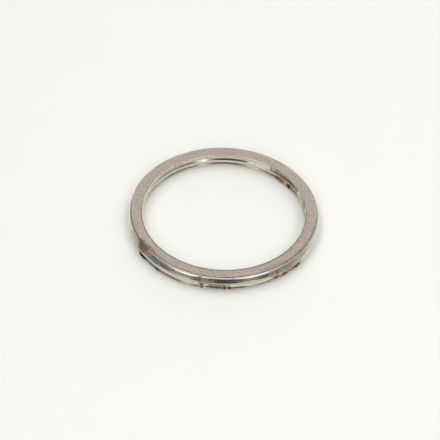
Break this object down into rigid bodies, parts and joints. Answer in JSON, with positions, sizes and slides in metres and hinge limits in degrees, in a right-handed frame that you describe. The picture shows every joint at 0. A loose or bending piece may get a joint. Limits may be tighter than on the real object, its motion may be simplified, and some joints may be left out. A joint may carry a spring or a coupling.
{
  "type": "exhaust gasket",
  "caption": "Flat spiral-wound sealing ring of corrugated stainless strip and soft filler, for the joint between an engine's exhaust port and its pipe.",
  "frame": {"origin": "centre of the ring at its bottom face", "axes": "+Z along the ring's axis, towards the face that is up in the picture; +X to the right in the picture, +Y away from the camera"},
  "size_m": [0.0449, 0.0451, 0.0035],
  "materials": {
    "stainless_strip": "bright rolled stainless steel with heat tint at the spot welds",
    "soft_filler": "matt mauve-beige mineral filler, rolled smooth"
  },
  "bodies": {
    "root": {"winding_strip": "stainless_strip", "filler_strip": "soft_filler"}
  },
  "joints": []
}
